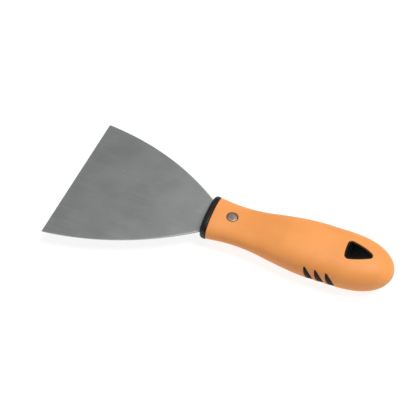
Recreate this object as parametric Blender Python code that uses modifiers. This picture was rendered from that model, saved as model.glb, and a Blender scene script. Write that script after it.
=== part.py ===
"""Flexible putty knife: a ground steel blade, a black collar and core, and an orange moulded grip.

Units are metres. X runs from the tail of the grip to the blade's edge, Y across the width and
Z through the thickness. The origin is the centre of the knife's box, on the blade's mid-plane.
"""

import math

import bmesh
import bpy
from mathutils import Matrix, Vector

MM = 0.001
GAP = 0.3 * MM
MERGE = 0.001 * MM

# Whole knife
LENGTH = 213.8 * MM
EDGE_X = LENGTH / 2
TAIL_X = -LENGTH / 2

# Blade
BLADE_FREE_LENGTH = 92.3 * MM
BLADE_HALF_WIDTH = 50.0 * MM
BLADE_ROOT_HALF_WIDTH = 13.2 * MM
BLADE_SIDE_RADIUS = 187.0 * MM
BLADE_SIDE_STEPS = 18
ROOT_THICKNESS = 0.8 * MM
EDGE_THICKNESS = 0.4 * MM
GRIND_START_X = 42.0 * MM
TANG_HALF_WIDTH = 10.0 * MM
TANG_END_X = -38.0 * MM
TANG_END_STEPS = 12

# Collar
COLLAR_LENGTH = 4.0 * MM
COLLAR_FRONT_X = EDGE_X - BLADE_FREE_LENGTH
COLLAR_BACK_X = COLLAR_FRONT_X - COLLAR_LENGTH
COLLAR_HALF_WIDTH = 15.6 * MM
COLLAR_HALF_HEIGHT = 8.1 * MM
COLLAR_EXPONENT = 2.8
COLLAR_EDGE_INSET = 1.7 * MM
COLLAR_EDGE_LENGTH = 2.6 * MM
COLLAR_EDGE_STEPS = 5
SHOULDER_POCKET_DEPTH = 1.2 * MM

# Grip, as half sizes at shares of its length from the front
GRIP_FRONT_X = COLLAR_BACK_X - GAP
GRIP_LENGTH = GRIP_FRONT_X - TAIL_X
GRIP_EXPONENT = 2.47
GRIP_HALF_WIDTHS = ((0, 15.5), (0.12, 14.2), (0.25, 14.8), (0.4, 17.3), (0.55, 19.3), (0.7, 19.3), (1, 19.3))
GRIP_HALF_HEIGHTS = ((0, 8.0), (0.2, 7.2), (0.45, 11.0), (0.7, 11.6), (1, 11.6))
GRIP_LARGEST_HALF_WIDTH = 19.3 * MM
GRIP_LARGEST_HALF_HEIGHT = 11.6 * MM
WIDTH_ROUNDING_START = 0.70
HEIGHT_ROUNDING_START = 0.82
TAIL_EXPONENT = 2.2
GRIP_FRONT_EDGE = 0.4 * MM
GRIP_WALL = 2.4 * MM
CORE_INSET = GRIP_WALL + 1.5 * GAP
FLUSH_INSET = 0.25 * MM

# Core
TENON_HALF_WIDTH = 12.4 * MM
TENON_HALF_HEIGHT = 5.2 * MM
TENON_FRONT_X = COLLAR_BACK_X + 1.5 * MM

# Rivet
RIVET_X = -2.1 * MM
RIVET_HEAD_RADIUS = 3.25 * MM
RIVET_HEAD_TOP = 7.1 * MM
RIVET_HEAD_BASE = 6.0 * MM
RIVET_HEAD_CHAMFER = 0.15 * MM
RIVET_TUBE_RADIUS = 2.3 * MM
RIVET_BORE_RADIUS = 1.5 * MM
RIVET_SHANK_RADIUS = 1.2 * MM
RIVET_TUBE_END = 4.6 * MM
RIVET_BORE_END = -4.6 * MM
RIVET_SHANK_END = -4.0 * MM
RIVET_SEAT_RADIUS = 3.7 * MM
ROUND_STEPS = 28

# Hang hole: three corner centres, with round corners and slightly bowed sides
HANG_HOLE_CORNERS = (
    Vector((-77.9 * MM, 4.5 * MM)),
    Vector((-89.3 * MM, 0.0)),
    Vector((-77.9 * MM, -4.5 * MM)),
)
HANG_HOLE_RADIUS = 2.5 * MM
HANG_HOLE_SIDE_RADIUS = 45.0 * MM
LINER_WALL = 1.1 * MM
CORNER_STEPS = 6
SIDE_STEPS = 4

# Inlays: slanting leaves in the sides of the grip
INLAY_TIPS_X = (-54.6 * MM, -61.4 * MM, -68.2 * MM)
INLAY_TOP_Z = 5.2 * MM
INLAY_BOTTOM_Z = -8.6 * MM
INLAY_LEAN = 7.4 * MM
INLAY_HALF_WIDTH = 2.0 * MM
INLAY_FULLNESS = 1.1
INLAY_BLUNTNESS = 0.6
INLAY_STEPS = 10
INLAY_INNER_Y = 13.3 * MM
INLAY_OUTER_Y = 22.0 * MM

FINE_SIDES = 40
FINE_STRAIGHT_STATIONS = 16
FINE_TAIL_STATIONS = 9
COARSE_SIDES = 28
COARSE_STRAIGHT_STATIONS = 9
COARSE_TAIL_STATIONS = 6
THROUGH = 16.0 * MM
SMOOTH_ANGLE = math.radians(35)

MATERIALS = {
    "blade_steel": ((0.42, 0.43, 0.43), 0.32, 1.0),
    "rivet_steel": ((0.45, 0.42, 0.39), 0.38, 1.0),
    "grip_orange": ((0.93, 0.38, 0.12), 0.52, 0.0),
    "core_black": ((0.02, 0.021, 0.022), 0.45, 0.0),
}


def clear_scene():
    for existing in list(bpy.data.objects):
        bpy.data.objects.remove(existing, do_unlink=True)


def new_collection(name):
    collection = bpy.data.collections.new(name)
    bpy.context.scene.collection.children.link(collection)
    return collection


def new_material(name):
    color, roughness, metallic = MATERIALS[name]
    material = bpy.data.materials.new(name)
    material.use_nodes = True
    shader = material.node_tree.nodes["Principled BSDF"]
    shader.inputs["Base Color"].default_value = (*color, 1.0)
    shader.inputs["Roughness"].default_value = roughness
    shader.inputs["Metallic"].default_value = metallic
    return material


def mesh_object(name, bm, collection):
    """An object that holds the closed mesh bm, with its faces turned out."""
    bmesh.ops.recalc_face_normals(bm, faces=bm.faces)
    mesh = bpy.data.meshes.new(name)
    bm.to_mesh(mesh)
    bm.free()
    made = bpy.data.objects.new(name, mesh)
    collection.objects.link(made)
    return made


def as_part(made, material):
    made.data.materials.append(material)
    made.data.shade_smooth()
    made.data.set_sharp_from_angle(angle=SMOOTH_ANGLE)
    return made


def as_cutter(made):
    made.hide_render = True
    made.display_type = "WIRE"
    return made


def boolean(made, other, operation="DIFFERENCE"):
    modifier = made.modifiers.new(f"{operation.lower()}_{other.name}", "BOOLEAN")
    modifier.operation = operation
    modifier.solver = "EXACT"
    modifier.object = other


def spline_value(knots, share):
    """A smooth curve through (share, value) knots: cubic pieces with slopes from their neighbours."""
    last = len(knots) - 1

    def slope(index):
        low, high = max(index - 1, 0), min(index + 1, last)
        return (knots[high][1] - knots[low][1]) / (knots[high][0] - knots[low][0])

    piece = max(index for index in range(last) if share >= knots[index][0] or index == 0)
    (start, first), (end, second) = knots[piece], knots[piece + 1]
    run = end - start
    t = min(max((share - start) / run, 0.0), 1.0)
    return (
        first * (1 + 2 * t) * (1 - t) ** 2
        + slope(piece) * run * t * (1 - t) ** 2
        + second * t * t * (3 - 2 * t)
        - slope(piece + 1) * run * t * t * (1 - t)
    )


def tail_rounding(share, start):
    along = max(share - start, 0.0) / (1 - start)
    return math.sqrt(max(1 - along**TAIL_EXPONENT, 0.0))


def grip_station(share, inset):
    """(x, half width, half height) of the grip, or of a smaller form inset inside it."""
    x = GRIP_FRONT_X - share * (GRIP_LENGTH - inset)
    half_width = spline_value(GRIP_HALF_WIDTHS, share) * tail_rounding(share, WIDTH_ROUNDING_START) * MM
    half_height = spline_value(GRIP_HALF_HEIGHTS, share) * tail_rounding(share, HEIGHT_ROUNDING_START) * MM
    return (
        x,
        half_width * (1 - inset / GRIP_LARGEST_HALF_WIDTH),
        half_height * (1 - inset / GRIP_LARGEST_HALF_HEIGHT),
    )


def station_shares(straight_count, tail_count):
    """Shares of the grip's length: even along its body, closing up towards the round tail."""
    split = 0.76
    body = [split * index / straight_count for index in range(straight_count)]
    tail = [
        split + (1 - split) * math.sin(0.5 * math.pi * index / tail_count)
        for index in range(tail_count)
    ]
    return body + tail


def superellipse_ring(bm, station, exponent, sides):
    """A ring with a flat side square to each axis, so that the form rests on faces and not on a ridge."""
    x, half_width, half_height = station
    step = 2 * math.pi / sides
    reach = math.cos(step / 2) ** (2 / exponent)
    ring = []
    for index in range(sides):
        across, up = math.cos((index + 0.5) * step), math.sin((index + 0.5) * step)
        y = half_width * math.copysign(abs(across) ** (2 / exponent), across) / reach
        z = half_height * math.copysign(abs(up) ** (2 / exponent), up) / reach
        ring.append(bm.verts.new((x, y, z)))
    return ring


def loft(name, stations, exponent, sides, collection, tip_x=None):
    """A closed form through superellipse sections, ended by a flat face or by a point at tip_x."""
    bm = bmesh.new()
    rings = [superellipse_ring(bm, station, exponent, sides) for station in stations]
    bm.faces.new(rings[0])
    for ahead, behind in zip(rings, rings[1:]):
        for index in range(sides):
            following = (index + 1) % sides
            bm.faces.new((ahead[index], ahead[following], behind[following], behind[index]))
    if tip_x is None:
        bm.faces.new(rings[-1])
    else:
        tip = bm.verts.new((tip_x, 0, 0))
        for index in range(sides):
            bm.faces.new((rings[-1][index], rings[-1][(index + 1) % sides], tip))
    return mesh_object(name, bm, collection)


def grip_form(name, inset, sides, straight_count, tail_count, collection, nose=()):
    """The grip's form, or a smaller one inside it, with any extra sections in front of it."""
    shares = station_shares(straight_count, tail_count)
    stations = list(nose) + [grip_station(share, inset) for share in shares]
    return loft(name, stations, GRIP_EXPONENT, sides, collection, tip_x=TAIL_X + inset)


def box(name, low, high, collection):
    bm = bmesh.new()
    bmesh.ops.create_cube(bm, size=1.0)
    size = Vector(high) - Vector(low)
    centre = (Vector(high) + Vector(low)) / 2
    bmesh.ops.transform(bm, matrix=Matrix.Translation(centre) @ Matrix.Diagonal((*size, 1.0)), verts=bm.verts)
    return mesh_object(name, bm, collection)


def cylinder(name, x, radius, collection):
    """A round cutter along Z through the whole thickness."""
    bm = bmesh.new()
    bmesh.ops.create_cone(
        bm,
        cap_ends=True,
        segments=ROUND_STEPS,
        radius1=radius,
        radius2=radius,
        depth=2 * THROUGH,
        matrix=Matrix.Translation((x, 0, 0)),
    )
    return mesh_object(name, bm, collection)


def plate(name, outline, half_thickness, collection, placement=Matrix.Identity(4)):
    """A flat outline given thickness, as a closed mesh in world space."""
    curve = bpy.data.curves.new(name, "CURVE")
    curve.dimensions = "2D"
    curve.fill_mode = "BOTH"
    curve.extrude = half_thickness
    spline = curve.splines.new("POLY")
    spline.points.add(len(outline) - 1)
    for point, (across, along) in zip(spline.points, outline):
        point.co = (across, along, 0, 1)
    spline.use_cyclic_u = True
    drawn = bpy.data.objects.new(f"{name}_outline", curve)
    drawn.matrix_world = placement
    collection.objects.link(drawn)
    bpy.context.view_layer.update()
    evaluated = drawn.evaluated_get(bpy.context.evaluated_depsgraph_get())
    bm = bmesh.new()
    flat = bpy.data.meshes.new_from_object(evaluated)
    bm.from_mesh(flat)
    bpy.data.meshes.remove(flat)
    bmesh.ops.remove_doubles(bm, verts=bm.verts, dist=MERGE)
    bmesh.ops.transform(bm, matrix=placement, verts=bm.verts)
    bpy.data.objects.remove(drawn, do_unlink=True)
    bpy.data.curves.remove(curve)
    return mesh_object(name, bm, collection)


def turned(name, profile, x, collection):
    """A round piece about a vertical axis at x, from a profile that runs down its outer side."""
    mesh = bpy.data.meshes.new(name)
    points = [(radius, 0, z) for radius, z in profile]
    mesh.from_pydata(points, [(index, index + 1) for index in range(len(points) - 1)], [])
    made = bpy.data.objects.new(name, mesh)
    made.location = (x, 0, 0)
    collection.objects.link(made)
    screw = made.modifiers.new("turn", "SCREW")
    screw.axis = "Z"
    screw.steps = ROUND_STEPS
    screw.render_steps = ROUND_STEPS
    screw.use_merge_vertices = True
    screw.merge_threshold = 0.01 * MM
    screw.use_smooth_shade = False
    return made


def blade_outline():
    """Half the outline from the edge to the end of the tang, then its mirror image."""
    corner = Vector((EDGE_X, BLADE_HALF_WIDTH))
    root = Vector((COLLAR_FRONT_X, BLADE_ROOT_HALF_WIDTH))
    chord = corner - root
    sagitta_centre = math.sqrt(BLADE_SIDE_RADIUS**2 - (chord.length / 2) ** 2)
    inward = Vector((chord.y, -chord.x)).normalized()
    centre = (corner + root) / 2 + inward * sagitta_centre
    begin = math.atan2(corner.y - centre.y, corner.x - centre.x)
    finish = math.atan2(root.y - centre.y, root.x - centre.x)
    half = []
    for index in range(BLADE_SIDE_STEPS + 1):
        angle = begin + (finish - begin) * index / BLADE_SIDE_STEPS
        half.append((centre.x + BLADE_SIDE_RADIUS * math.cos(angle), centre.y + BLADE_SIDE_RADIUS * math.sin(angle)))
    shoulder_x = COLLAR_FRONT_X - SHOULDER_POCKET_DEPTH + GAP
    half.append((shoulder_x, BLADE_ROOT_HALF_WIDTH))
    half.append((shoulder_x, TANG_HALF_WIDTH))
    for index in range(TANG_END_STEPS // 2):
        angle = math.pi / 2 * (1 + 2 * index / TANG_END_STEPS)
        half.append((TANG_END_X + TANG_HALF_WIDTH * (1 + math.cos(angle)), TANG_HALF_WIDTH * math.sin(angle)))
    mirrored = [(x, -y) for x, y in reversed(half)]
    return half + [(TANG_END_X, 0.0)] + mirrored


def make_blade(parts, cutters, steel):
    """One stamping with its tang: parallel at the root, then ground to a plane taper."""
    blade = plate("blade", blade_outline(), ROOT_THICKNESS / 2, parts)
    fall = (ROOT_THICKNESS - EDGE_THICKNESS) / 2 / (EDGE_X - GRIND_START_X)
    margin = 5 * MM
    start = GRIND_START_X - margin
    end = EDGE_X + margin
    top = ROOT_THICKNESS / 2
    wedge = (
        (start, top + fall * margin),
        (end, top - fall * (end - GRIND_START_X)),
        (end, top + margin),
        (start, top + margin),
    )
    for side, name in ((1, "grind_top"), (-1, "grind_bottom")):
        upright = Matrix(((1, 0, 0, 0), (0, 0, 1, 0), (0, side, 0, 0), (0, 0, 0, 1)))
        cutter = plate(name, wedge, BLADE_HALF_WIDTH + margin, cutters, upright)
        boolean(blade, as_cutter(cutter))
    boolean(blade, as_cutter(cylinder("tang_rivet_hole", RIVET_X, RIVET_TUBE_RADIUS + GAP, cutters)))
    return as_part(blade, steel)


def make_collar(parts, cutters, black):
    """A bolster cap: a pocket in front for the blade's shoulders and one behind for the core's tenon."""
    stations = [(COLLAR_BACK_X, COLLAR_HALF_WIDTH, COLLAR_HALF_HEIGHT)]
    for index in range(COLLAR_EDGE_STEPS + 1):
        angle = math.pi / 2 * index / COLLAR_EDGE_STEPS
        inset = COLLAR_EDGE_INSET * (1 - math.cos(angle))
        x = COLLAR_FRONT_X - COLLAR_EDGE_LENGTH * (1 - math.sin(angle))
        stations.append((x, COLLAR_HALF_WIDTH - inset, COLLAR_HALF_HEIGHT - inset))
    collar = loft("bolster_collar", stations, COLLAR_EXPONENT, FINE_SIDES, parts)
    slot_half_height = ROOT_THICKNESS / 2 + GAP
    shoulder = BLADE_ROOT_HALF_WIDTH + GAP
    shoulder_pocket = box(
        "shoulder_pocket",
        (COLLAR_FRONT_X - SHOULDER_POCKET_DEPTH, -shoulder, -slot_half_height),
        (COLLAR_FRONT_X + COLLAR_LENGTH, shoulder, slot_half_height),
        cutters,
    )
    tenon_pocket = loft(
        "tenon_pocket",
        [
            (TENON_FRONT_X + GAP, TENON_HALF_WIDTH + GAP, TENON_HALF_HEIGHT + GAP),
            (COLLAR_BACK_X - COLLAR_LENGTH, TENON_HALF_WIDTH + GAP, TENON_HALF_HEIGHT + GAP),
        ],
        GRIP_EXPONENT,
        COARSE_SIDES,
        cutters,
    )
    for cutter in (shoulder_pocket, tenon_pocket, bpy.data.objects["tang_slot"]):
        boolean(collar, as_cutter(cutter))
    return as_part(collar, black)


def make_core(parts, black):
    """The stiff core: a tenon into the collar, a slot for the tang, and holes for rivet and hook."""
    tenon = [
        (TENON_FRONT_X, TENON_HALF_WIDTH, TENON_HALF_HEIGHT),
        (GRIP_FRONT_X, TENON_HALF_WIDTH, TENON_HALF_HEIGHT),
    ]
    core = grip_form(
        "handle_core",
        CORE_INSET,
        COARSE_SIDES,
        COARSE_STRAIGHT_STATIONS,
        COARSE_TAIL_STATIONS,
        parts,
        nose=tenon,
    )
    for cutter in ("tang_slot", "core_rivet_hole", "hang_hole_cut"):
        boolean(core, bpy.data.objects[cutter])
    return as_part(core, black)


def arc_points(centre, radius, begin, turn, steps):
    return [
        (
            centre.x + radius * math.cos(begin + turn * step / steps),
            centre.y + radius * math.sin(begin + turn * step / steps),
        )
        for step in range(steps)
    ]


def rounded_triangle(inset):
    """The hang hole's outline, drawn in by inset: corner arcs joined by bowed sides that meet them smoothly."""
    corners = HANG_HOLE_CORNERS
    reach = HANG_HOLE_SIDE_RADIUS - HANG_HOLE_RADIUS
    side_centres = []
    for index, corner in enumerate(corners):
        following = corners[(index + 1) % len(corners)]
        side = following - corner
        inward = Vector((-side.y, side.x)).normalized()
        side_centres.append((corner + following) / 2 + inward * math.sqrt(reach**2 - (side.length / 2) ** 2))
    outline = []
    for index, corner in enumerate(corners):
        following = corners[(index + 1) % len(corners)]
        into = corner - side_centres[index - 1]
        out = corner - side_centres[index]
        away = following - side_centres[index]
        begin = math.atan2(into.y, into.x)
        corner_turn = -into.angle_signed(out)
        outline += arc_points(corner, HANG_HOLE_RADIUS - inset, begin, corner_turn, CORNER_STEPS)
        side_turn = -out.angle_signed(away)
        outline += arc_points(
            side_centres[index], HANG_HOLE_SIDE_RADIUS - inset, begin + corner_turn, side_turn, SIDE_STEPS
        )
    return outline


def leaf_outline(tip_x, margin):
    """A slanting leaf in the XZ plane, narrower by margin all round: blunt at its ends, fuller below."""
    top = Vector((tip_x, INLAY_TOP_Z))
    bottom = Vector((tip_x - INLAY_LEAN, INLAY_BOTTOM_Z))
    along = (bottom - top).normalized()
    across = Vector((-along.y, along.x))
    top += along * 2 * margin
    bottom -= along * 2 * margin
    right, left = [], []
    for index in range(1, INLAY_STEPS):
        share = index / INLAY_STEPS
        spread = (INLAY_HALF_WIDTH - margin) * math.sin(math.pi * share**INLAY_FULLNESS) ** INLAY_BLUNTNESS
        middle = top.lerp(bottom, share)
        right.append(tuple(middle + across * spread))
        left.append(tuple(middle - across * spread))
    return [tuple(top)] + right + [tuple(bottom)] + left[::-1]


def side_prism(name, outline, side, inner_y, collection):
    """An XZ outline extruded outwards from inner_y across the wall on one side: +1 is +Y."""
    half_depth = (INLAY_OUTER_Y - inner_y) / 2
    middle = side * (INLAY_OUTER_Y + inner_y) / 2
    upright = Matrix(((1, 0, 0, 0), (0, 0, -1, middle), (0, 1, 0, 0), (0, 0, 0, 1)))
    return plate(name, outline, half_depth, collection, upright)


def make_grip(parts, cutters, orange):
    """The overmoulded grip: a shell open at the front, at the rivet, at the hang hole and at the inlays."""
    front = grip_station(0.0, 0.0)
    nose = [(front[0], front[1] - GRIP_FRONT_EDGE, front[2] - GRIP_FRONT_EDGE)]
    shares = station_shares(FINE_STRAIGHT_STATIONS, FINE_TAIL_STATIONS)
    stations = nose + [grip_station(share, 0.0) for share in shares]
    stations[1] = (front[0] - GRIP_FRONT_EDGE, front[1], front[2])
    grip = loft("grip_overmould", stations, GRIP_EXPONENT, FINE_SIDES, parts, tip_x=TAIL_X)
    boolean(grip, bpy.data.objects["core_cavity"])
    boolean(grip, bpy.data.objects["hang_hole_cut"])
    boolean(grip, as_cutter(cylinder("rivet_seat", RIVET_X, RIVET_SEAT_RADIUS, cutters)))
    for side, side_name in ((1, "left"), (-1, "right")):
        for index, tip_x in enumerate(INLAY_TIPS_X, start=1):
            name = f"inlay_window_{side_name}_{index}"
            window = side_prism(name, leaf_outline(tip_x, 0.0), side, INLAY_INNER_Y - GAP, cutters)
            boolean(grip, as_cutter(window))
    return as_part(grip, orange)


def make_liner(parts, cutters, black):
    """The black bush that lines the hang hole, flush with the grip on both faces."""
    liner = plate("hang_hole_liner", rounded_triangle(GAP), THROUGH, parts)
    bore = plate("hang_hole_bore", rounded_triangle(GAP + LINER_WALL), THROUGH + LINER_WALL, cutters)
    boolean(liner, bpy.data.objects["flush_form"], "INTERSECT")
    boolean(liner, as_cutter(bore))
    return as_part(liner, black)


def make_inlays(parts, black):
    """Three leaf inlays a side, each filling the grip's wall from the core cavity to just below flush."""
    for side, side_name in ((1, "left"), (-1, "right")):
        for index, tip_x in enumerate(INLAY_TIPS_X, start=1):
            name = f"grip_inlay_{side_name}_{index}"
            inlay = side_prism(name, leaf_outline(tip_x, GAP), side, INLAY_INNER_Y, parts)
            boolean(inlay, bpy.data.objects["flush_form"], "INTERSECT")
            boolean(inlay, bpy.data.objects["core_cavity"])
            as_part(inlay, black)


def make_rivet(parts, steel):
    """A two-part compression rivet: a headed tube from below and a headed pin from above."""
    chamfer = RIVET_HEAD_CHAMFER
    pin_profile = (
        (0, RIVET_HEAD_TOP),
        (RIVET_HEAD_RADIUS - chamfer, RIVET_HEAD_TOP),
        (RIVET_HEAD_RADIUS, RIVET_HEAD_TOP - chamfer),
        (RIVET_HEAD_RADIUS, RIVET_HEAD_BASE),
        (RIVET_SHANK_RADIUS, RIVET_HEAD_BASE),
        (RIVET_SHANK_RADIUS, RIVET_SHANK_END),
        (0, RIVET_SHANK_END),
    )
    tube_profile = (
        (0, RIVET_BORE_END),
        (RIVET_BORE_RADIUS, RIVET_BORE_END),
        (RIVET_BORE_RADIUS, RIVET_TUBE_END),
        (RIVET_TUBE_RADIUS, RIVET_TUBE_END),
        (RIVET_TUBE_RADIUS, -RIVET_HEAD_BASE),
        (RIVET_HEAD_RADIUS, -RIVET_HEAD_BASE),
        (RIVET_HEAD_RADIUS, chamfer - RIVET_HEAD_TOP),
        (RIVET_HEAD_RADIUS - chamfer, -RIVET_HEAD_TOP),
        (0, -RIVET_HEAD_TOP),
    )
    for name, profile in (("rivet_pin", pin_profile), ("rivet_tube", tube_profile)):
        turned(name, profile, RIVET_X, parts).data.materials.append(steel)


def make_shared_cutters(cutters):
    """The forms that more than one piece is cut to."""
    slot_half_width = TANG_HALF_WIDTH + GAP
    slot_half_height = ROOT_THICKNESS / 2 + GAP
    as_cutter(
        box(
            "tang_slot",
            (TANG_END_X - GAP, -slot_half_width, -slot_half_height),
            (COLLAR_FRONT_X + COLLAR_LENGTH, slot_half_width, slot_half_height),
            cutters,
        )
    )
    cavity_front = grip_station(0.0, GRIP_WALL)
    ahead = [(cavity_front[0] + COLLAR_LENGTH, cavity_front[1], cavity_front[2])]
    coarse = (COARSE_SIDES, COARSE_STRAIGHT_STATIONS, COARSE_TAIL_STATIONS)
    as_cutter(grip_form("core_cavity", GRIP_WALL, *coarse, cutters, nose=ahead))
    fine = (FINE_SIDES, FINE_STRAIGHT_STATIONS, FINE_TAIL_STATIONS)
    as_cutter(grip_form("flush_form", FLUSH_INSET, *fine, cutters))
    as_cutter(plate("hang_hole_cut", rounded_triangle(0.0), THROUGH, cutters))
    as_cutter(cylinder("core_rivet_hole", RIVET_X, RIVET_TUBE_RADIUS + GAP, cutters))


def main():
    clear_scene()
    parts = new_collection("flexible_putty_knife")
    cutters = new_collection("cutters")
    steel = new_material("blade_steel")
    orange = new_material("grip_orange")
    black = new_material("core_black")
    make_shared_cutters(cutters)
    make_blade(parts, cutters, steel)
    make_collar(parts, cutters, black)
    make_core(parts, black)
    make_grip(parts, cutters, orange)
    make_liner(parts, cutters, black)
    make_inlays(parts, black)
    make_rivet(parts, new_material("rivet_steel"))


main()
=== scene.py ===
import math

import bmesh
import bpy
import numpy as np
from mathutils import Matrix, Vector


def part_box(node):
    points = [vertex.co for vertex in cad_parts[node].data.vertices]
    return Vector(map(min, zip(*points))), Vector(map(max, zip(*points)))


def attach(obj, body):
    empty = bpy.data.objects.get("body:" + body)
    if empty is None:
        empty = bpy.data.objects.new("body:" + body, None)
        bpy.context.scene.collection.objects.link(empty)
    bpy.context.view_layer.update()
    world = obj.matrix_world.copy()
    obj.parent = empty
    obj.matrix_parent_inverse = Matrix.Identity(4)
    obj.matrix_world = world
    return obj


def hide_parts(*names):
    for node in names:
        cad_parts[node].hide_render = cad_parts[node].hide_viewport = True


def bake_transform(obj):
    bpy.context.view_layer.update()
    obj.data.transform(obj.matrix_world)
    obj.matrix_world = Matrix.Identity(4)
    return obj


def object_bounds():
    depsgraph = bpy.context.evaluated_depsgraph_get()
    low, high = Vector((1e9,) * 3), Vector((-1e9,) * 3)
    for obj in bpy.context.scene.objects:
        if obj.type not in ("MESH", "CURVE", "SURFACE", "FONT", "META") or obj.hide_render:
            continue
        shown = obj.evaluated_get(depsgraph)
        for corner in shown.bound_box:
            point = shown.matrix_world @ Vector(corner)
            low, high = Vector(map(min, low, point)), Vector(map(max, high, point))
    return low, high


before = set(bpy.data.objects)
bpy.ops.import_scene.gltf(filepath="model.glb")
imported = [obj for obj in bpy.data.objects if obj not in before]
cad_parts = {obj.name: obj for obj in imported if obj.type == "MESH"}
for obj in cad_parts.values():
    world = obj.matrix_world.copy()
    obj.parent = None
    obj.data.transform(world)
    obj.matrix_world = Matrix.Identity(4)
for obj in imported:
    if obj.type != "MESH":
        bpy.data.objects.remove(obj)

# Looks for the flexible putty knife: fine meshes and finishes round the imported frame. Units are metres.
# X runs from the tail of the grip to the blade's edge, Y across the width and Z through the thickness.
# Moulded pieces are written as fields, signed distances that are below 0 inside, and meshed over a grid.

CAD_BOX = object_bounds()
MM = 0.001
GAP = 0.3 * MM

# Places that the frame gives
TANG_END_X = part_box("blade")[0].x
EDGE_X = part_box("blade")[1].x
BLADE_HALF_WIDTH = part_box("blade")[1].y
COLLAR_BACK_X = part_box("bolster_collar")[0].x
COLLAR_FRONT_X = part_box("bolster_collar")[1].x
TAIL_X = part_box("grip_overmould")[0].x
GRIP_FRONT_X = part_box("grip_overmould")[1].x
RIVET_X = sum(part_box("rivet_pin"), Vector()).x / 2
RIVET_HEAD_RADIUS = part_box("rivet_pin")[1].y
RIVET_HEAD_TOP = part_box("rivet_pin")[1].z
FLOOR_Z = CAD_BOX[0][2]

# Blade
BLADE_ROOT_HALF_WIDTH = 13.2 * MM
BLADE_SIDE_RADIUS = 187.0 * MM
ROOT_THICKNESS = 0.8 * MM
EDGE_THICKNESS = 0.4 * MM
GRIND_START_X = 42.0 * MM
TANG_HALF_WIDTH = 10.0 * MM
TANG_HOLE_RADIUS = 2.6 * MM
TANG_END_SHARE = 0.1
SHOULDER_X = COLLAR_FRONT_X - 0.9 * MM
CORNER_RADIUS = 0.5 * MM
ARRIS = 0.12 * MM
BLADE_ROWS = 86
CORNER_ROWS = 2
TANG_ROWS = 30
INNER_COLUMNS = 20
OUTER_COLUMNS = 14
# The next three set the painted highlight along the blade's rims: where its strong part near the root ends,
# how far in it fades, and its least strength.
NECK_END_X = 48.0 * MM
RIM_HIGHLIGHT_WIDTH = 0.45 * MM
RIM_HIGHLIGHT_LEAST = 0.12
ARRIS_ANGLE = math.radians(60)
ARRIS_SEGMENTS = 2

# Collar
COLLAR_HALF_WIDTH = 15.6 * MM
COLLAR_HALF_HEIGHT = 8.1 * MM
COLLAR_EXPONENT = 2.8
COLLAR_EDGE_INSET = 1.7 * MM
COLLAR_EDGE_LENGTH = 2.6 * MM
COLLAR_SIDE_INSET = 0.2 * MM
COLLAR_CORNER_INSET = 0.9 * MM
SHOULDER_POCKET_DEPTH = 1.2 * MM
TENON_FRONT_X = COLLAR_BACK_X + 1.5 * MM
TENON_HALF_WIDTH = 12.4 * MM
TENON_HALF_HEIGHT = 5.2 * MM

# Grip, as half sizes in millimetres at shares of its length from the front
GRIP_LENGTH = GRIP_FRONT_X - TAIL_X
GRIP_EXPONENT = 2.47
GRIP_HALF_WIDTHS = ((0, 15.5), (0.12, 14.2), (0.25, 14.8), (0.4, 17.3), (0.55, 19.3), (0.7, 19.3), (1, 19.3))
GRIP_HALF_HEIGHTS = ((0, 8.0), (0.2, 7.2), (0.45, 11.0), (0.7, 11.6), (1, 11.6))
GRIP_LARGEST_HALF_WIDTH = 19.3 * MM
GRIP_LARGEST_HALF_HEIGHT = 11.6 * MM
WIDTH_ROUNDING_START = 0.70
HEIGHT_ROUNDING_START = 0.82
TAIL_EXPONENT = 2.2
GRIP_WALL = 2.4 * MM
GRIP_FRONT_EDGE = 0.4 * MM
RIVET_SEAT_RADIUS = 3.7 * MM
SEAT_LIP = 0.3 * MM
HOLE_LIP = 0.5 * MM
WINDOW_LIP = 0.35 * MM
INNER_EDGE = 0.15 * MM
# How far the painted shade reaches round the inlay windows and the rivet seat
WINDOW_PAINTED_SHADE = 0.6 * MM
SEAT_PAINTED_SHADE = 0.4 * MM

# A faint crease that sweeps past the hang hole on the upper face
CREASE_CENTRE = (-74.0 * MM, -27.5 * MM)
CREASE_RADIUS = 36.1 * MM
CREASE_MIDDLE_X = -77.5 * MM
CREASE_REACH = 11.0 * MM
CREASE_WIDTH = 0.75 * MM
CREASE_DEPTH = 0.18 * MM

# Hang hole: three corner centres, with round corners and slightly bowed sides
HANG_HOLE_CORNERS = (
    Vector((-77.9 * MM, 4.5 * MM)),
    Vector((-89.3 * MM, 0.0)),
    Vector((-77.9 * MM, -4.5 * MM)),
)
HANG_HOLE_RADIUS = 2.5 * MM
HANG_HOLE_SIDE_RADIUS = 45.0 * MM
CORNER_STEPS = 14
SIDE_STEPS = 8
LINER_WALL = 1.1 * MM
LINER_RECESS = 0.5 * MM
LINER_RIM = 0.5 * MM

# Inlays: slanting leaves in the sides of the grip
INLAY_TIPS_X = (-54.6 * MM, -61.4 * MM, -68.2 * MM)
INLAY_TOP_Z = 5.2 * MM
INLAY_BOTTOM_Z = -8.6 * MM
INLAY_LEAN = 7.4 * MM
INLAY_HALF_WIDTH = 2.0 * MM
INLAY_FULLNESS = 1.1
INLAY_BLUNTNESS = 0.6
INLAY_STEPS = 22
INLAY_INNER_Y = 13.3 * MM
INLAY_RECESS = 0.22 * MM
INLAY_EDGE = 0.3 * MM

# Rivet
RIVET_HEAD_BASE = 6.0 * MM
RIVET_CROWN = 0.10 * MM
RIVET_CROWN_EXPONENT = 2.5
RIVET_CROWN_STEPS = 10
RIVET_HEAD_CHAMFER = 0.30 * MM
RIVET_CHAMFER_STEPS = 5
RIVET_WEAR_START = 2.75 * MM
RIVET_WEAR_END = 3.2 * MM
RIVET_TUBE_RADIUS = 2.3 * MM
RIVET_BORE_RADIUS = 1.5 * MM
RIVET_SHANK_RADIUS = 1.2 * MM
RIVET_TUBE_END = 4.6 * MM
RIVET_BORE_END = -4.6 * MM
RIVET_SHANK_END = -4.0 * MM
RIVET_SIDES = 96

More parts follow.
